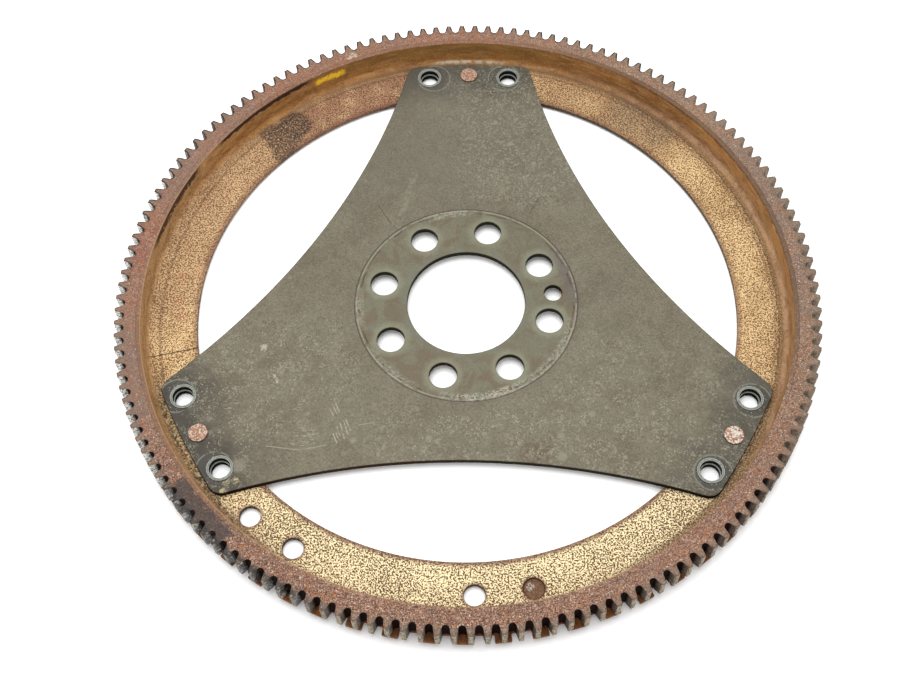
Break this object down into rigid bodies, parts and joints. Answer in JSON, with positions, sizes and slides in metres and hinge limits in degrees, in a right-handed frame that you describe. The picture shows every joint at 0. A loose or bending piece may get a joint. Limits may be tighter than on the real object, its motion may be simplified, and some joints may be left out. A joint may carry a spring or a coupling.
{
  "type": "drive plate with starter ring gear",
  "caption": "Riveted steel drive plate with a three-armed centre plate, a pressed carrier ring, a starter ring gear and a notched signal ring.",
  "frame": {"origin": "on the turning axis, in the plane of the rivet tails, which are the lowest points", "axes": "+Z along the turning axis towards the engine side, +Y along the middle of the first arm"},
  "size_m": [0.3174, 0.3174, 0.016],
  "materials": {
    "plate_steel": "olive-grey phosphated sheet steel, satin, scuffed",
    "carrier_steel": "golden chromated sheet steel with dark speckle and light rust",
    "gear_steel": "hardened steel with a thin mauve-brown rust and worn teeth",
    "signal_steel": "thin sheet steel with orange rust",
    "rivet_steel": "coppery rivet steel, speckled",
    "bush_steel": "pale grey plated steel with a bright rim"
  },
  "bodies": {
    "root": {"drive_plate": "plate_steel", "carrier_ring": "carrier_steel", "ring_gear": "gear_steel", "signal_ring": "signal_steel", "rivet_1": "rivet_steel", "rivet_2": "rivet_steel", "rivet_3": "rivet_steel", "bush_1": "bush_steel", "bush_2": "bush_steel", "bush_3": "bush_steel", "bush_4": "bush_steel", "bush_5": "bush_steel", "bush_6": "bush_steel"}
  },
  "joints": []
}
